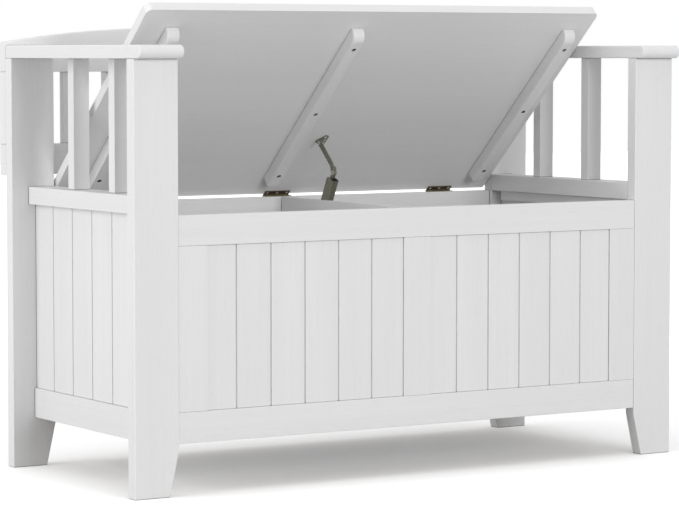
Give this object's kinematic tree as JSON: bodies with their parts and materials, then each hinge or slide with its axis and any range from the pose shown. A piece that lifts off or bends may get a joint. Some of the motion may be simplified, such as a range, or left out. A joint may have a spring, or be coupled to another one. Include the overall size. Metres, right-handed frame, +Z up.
{
  "type": "storage bench",
  "caption": "Storage bench with a panelled box, armrests, an arched slatted backrest and a hinged lid held open by a folding stay.",
  "frame": {"origin": "on the floor, in the middle of the bench's width and of its whole depth", "axes": "+Z up, +X to the right seen from the front, the front faces -Y"},
  "size_m": [1.02, 0.482, 0.7502],
  "materials": {
    "white_paint": "white satin paint over wood",
    "bare_wood": "unpainted softwood",
    "bronze": "dark bronze lacquer",
    "stay_steel": "olive-grey plated sheet steel",
    "zinc": "bright zinc",
    "stop_rubber": "matt black rubber"
  },
  "bodies": {
    "bench": {"front_leg_left": "white_paint", "front_leg_right": "white_paint", "rear_leg_left": "white_paint", "rear_leg_right": "white_paint", "armrest_left": "white_paint", "armrest_right": "white_paint", "cap_rail_left": "white_paint", "cap_rail_right": "white_paint", "end_rail_left": "white_paint", "end_rail_right": "white_paint", "end_panel_left": "white_paint", "end_panel_right": "white_paint", "end_cleat_left": "white_paint", "end_cleat_right": "white_paint", "slat_left_front": "white_paint", "slat_left_rear": "white_paint", "slat_right_front": "white_paint", "slat_right_rear": "white_paint", "front_top_rail": "white_paint", "front_bottom_rail": "white_paint", "front_stile_left": "white_paint", "front_stile_middle": "white_paint", "front_stile_right": "white_paint", "front_panel_left": "white_paint", "front_panel_right": "white_paint", "back_top_rail": "white_paint", "back_bottom_rail": "white_paint", "back_panel": "white_paint", "divider": "white_paint", "bottom_panel": "white_paint", "bottom_cleats": "bare_wood", "crest_rail": "white_paint", "backrest_rail": "white_paint", "backrest_stile_left": "white_paint", "backrest_stile_right": "white_paint", "backrest_slats": "white_paint", "hinge_frame_leaves": "bronze", "hinge_pins": "bronze", "hinge_frame_screws": "zinc", "stay_base_plate": "stay_steel", "stay_base_screws": "zinc", "rail_dowels": "bare_wood", "end_dowels": "bare_wood", "armrest_dowels": "bare_wood", "backrest_bolts": "zinc"},
    "lid": {"lid_board": "white_paint", "batten_left": "white_paint", "batten_middle": "white_paint", "batten_right": "white_paint", "batten_screws": "bronze", "hinge_lid_leaves": "bronze", "hinge_lid_screws": "zinc", "stay_lid_bracket": "stay_steel", "stay_bracket_screws": "zinc", "stay_bracket_rivet": "zinc"},
    "stay_lower": {"stay_lower_arm": "stay_steel", "stay_spring": "zinc", "stay_bumper": "stop_rubber", "stay_arm_rivets": "zinc"},
    "stay_upper": {"stay_upper_arm": "stay_steel"}
  },
  "joints": [
    {"name": "lid_hinge", "type": "hinge", "parent": "bench", "child": "lid", "pos_m": [0, 0.2214, 0.4293], "axis": [1, 0, 0], "range_deg": [0, 42.3]},
    {"name": "stay_base_pivot", "type": "hinge", "parent": "bench", "child": "stay_lower", "pos_m": [0.013, 0.1764, 0.3793], "axis": [1, 0, 0], "range_deg": [0, 42.5]},
    {"name": "stay_bracket_pivot", "type": "hinge", "parent": "lid", "child": "stay_upper", "pos_m": [0.0155, 0.10182, 0.52216], "axis": [1, 0, 0], "range_deg": [-43.8, 0]}
  ],
  "couplings": [
    {"joint": "stay_base_pivot", "follows": "lid_hinge", "ratio": 1.0034},
    {"joint": "stay_bracket_pivot", "follows": "lid_hinge", "ratio": -1.0332}
  ]
}
